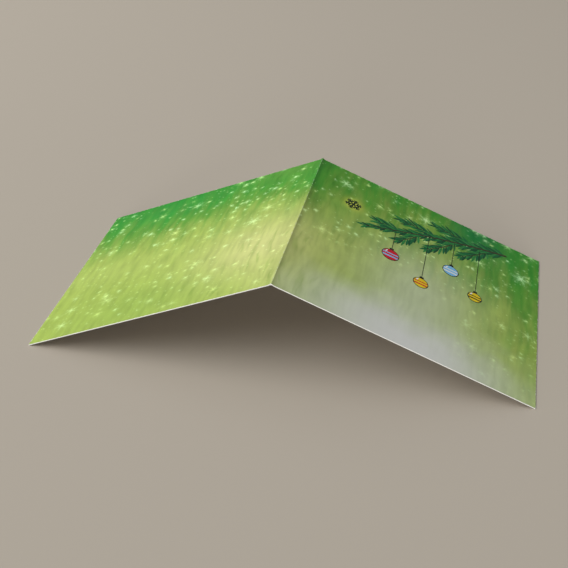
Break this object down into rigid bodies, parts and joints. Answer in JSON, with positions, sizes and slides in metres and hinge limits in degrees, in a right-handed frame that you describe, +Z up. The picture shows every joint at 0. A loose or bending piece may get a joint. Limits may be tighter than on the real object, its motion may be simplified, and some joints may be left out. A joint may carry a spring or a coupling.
{
  "type": "greeting card",
  "caption": "Square single-fold greeting card of printed board, standing half open like a tent on its two free edges.",
  "frame": {"origin": "on the floor, midway between the two feet and midway along the fold", "axes": "+Y along the fold, from the near end to the far end; +X across the card, towards the front leaf; +Z up"},
  "size_m": [0.2732, 0.148, 0.0574],
  "materials": {
    "printed_board": "satin"
  },
  "bodies": {
    "root": {"folded_card": "printed_board"}
  },
  "joints": []
}
